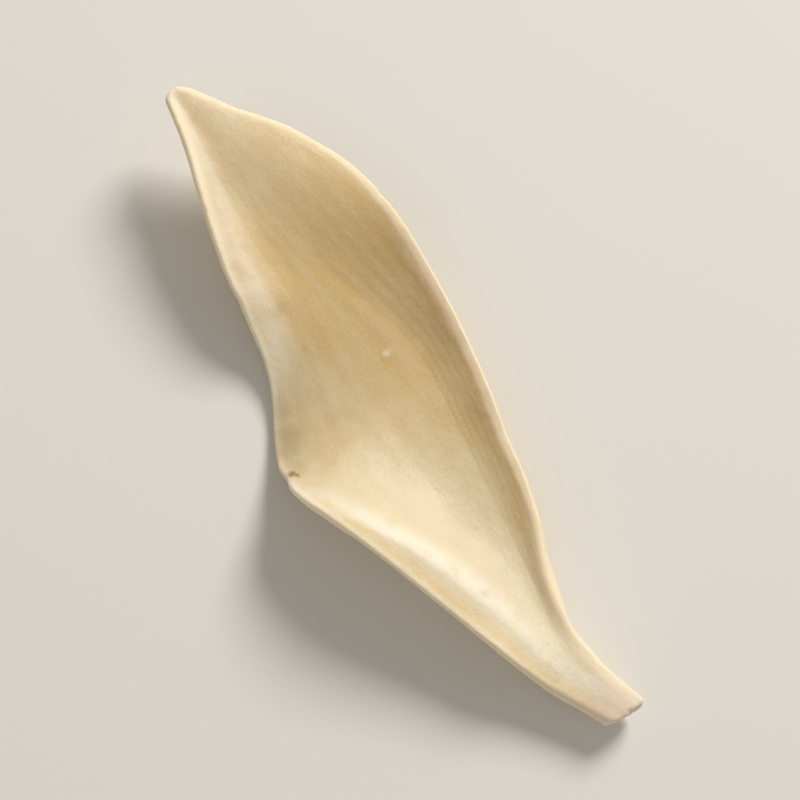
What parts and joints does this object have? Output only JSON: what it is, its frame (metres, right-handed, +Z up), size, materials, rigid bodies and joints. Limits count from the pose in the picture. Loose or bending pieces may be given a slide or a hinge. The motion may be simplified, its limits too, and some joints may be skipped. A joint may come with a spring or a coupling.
{
  "type": "dried lily bulb scale",
  "caption": "Cupped, twisted dried scale of a lily bulb, with a pointed tip, thin raised margins and a broken stub where it grew on the bulb. It lies on its back as food or decoration.",
  "frame": {"origin": "on the surface that the scale rests on, under the middle of its bounding box", "axes": "+X along the length, from the broken stub to the pointed tip; +Y to the side with the wide shoulder; +Z up"},
  "size_m": [0.0408, 0.013, 0.0047],
  "materials": {
    "dried_lily_flesh": null
  },
  "bodies": {
    "root": {"lily_scale": "dried_lily_flesh"}
  },
  "joints": []
}
